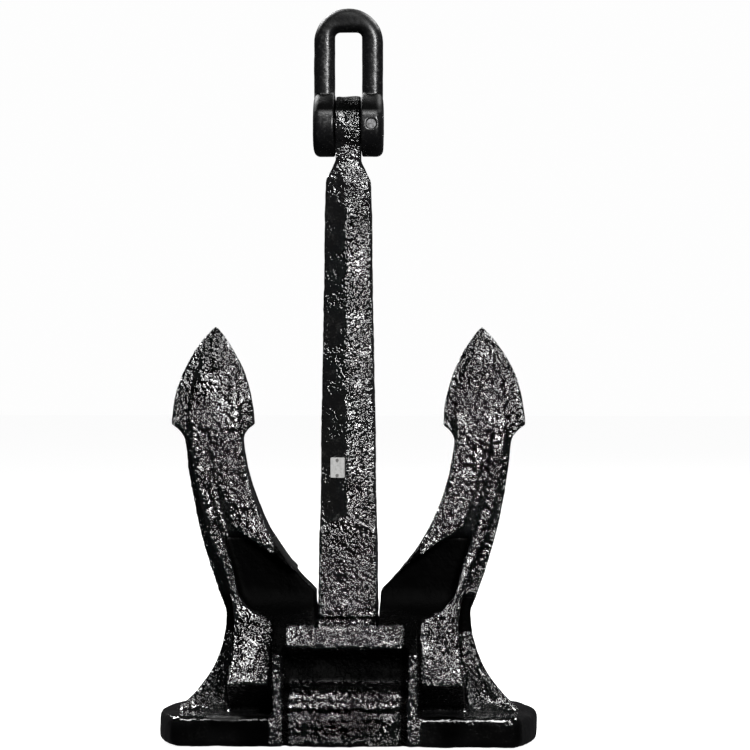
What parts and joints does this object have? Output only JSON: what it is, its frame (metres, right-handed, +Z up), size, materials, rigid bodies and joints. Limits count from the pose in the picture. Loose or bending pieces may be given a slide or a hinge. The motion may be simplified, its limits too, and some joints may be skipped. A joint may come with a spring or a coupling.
{
  "type": "stockless ship anchor",
  "caption": "Stockless tumbling-fluke anchor: tapered shank hinged in a heavy crown, curved arms with arrow-head flukes, wide sole and a D shackle with a forelocked pin.",
  "frame": {"origin": "centre of the sole, the flat face under the crown", "axes": "+Z up along the shank to the shackle, X across the two flukes, +Y out of the rear of the head; the front faces -Y"},
  "size_m": [0.474, 0.212, 0.914],
  "materials": {
    "head_paint": "rough casting under glossy black bitumen paint",
    "shank_paint": "rough forging under glossy black bitumen paint",
    "shackle_paint": "smooth glossy black paint",
    "shackle_pin_paint": "black paint over turned steel",
    "pin_paint": "black paint over turned steel",
    "washer_paint": "black paint",
    "key_paint": "black paint",
    "crown_pin_steel": "dark greased steel",
    "plate_metal": "pale worn metal, blank",
    "rivet_metal": "dull rivet heads",
    "forelock_steel": "plain steel",
    "lead": "lead dressed flush and painted over"
  },
  "bodies": {
    "shackle": {"shackle_bow": "shackle_paint", "shackle_pin": "shackle_pin_paint", "forelock_pin": "forelock_steel", "lead_plugs": "lead"},
    "shank_body": {"shank": "shank_paint", "crown_pin": "crown_pin_steel", "marking_plate": "plate_metal", "plate_rivets": "rivet_metal"},
    "head": {"fluke_head": "head_paint", "keeper_pin_front": "pin_paint", "keeper_pin_rear": "pin_paint", "keeper_washers": "washer_paint", "keeper_keys": "key_paint"}
  },
  "joints": [
    {"name": "shackle_swing", "type": "hinge", "parent": "shackle", "child": "shank_body", "pos_m": [0, 0, 0.768], "axis": [1, 0, 0], "range_deg": [-110, 110]},
    {"name": "head_tilt", "type": "hinge", "parent": "shank_body", "child": "head", "pos_m": [0, 0, 0.12], "axis": [1, 0, 0], "range_deg": [-44, 44]}
  ]
}
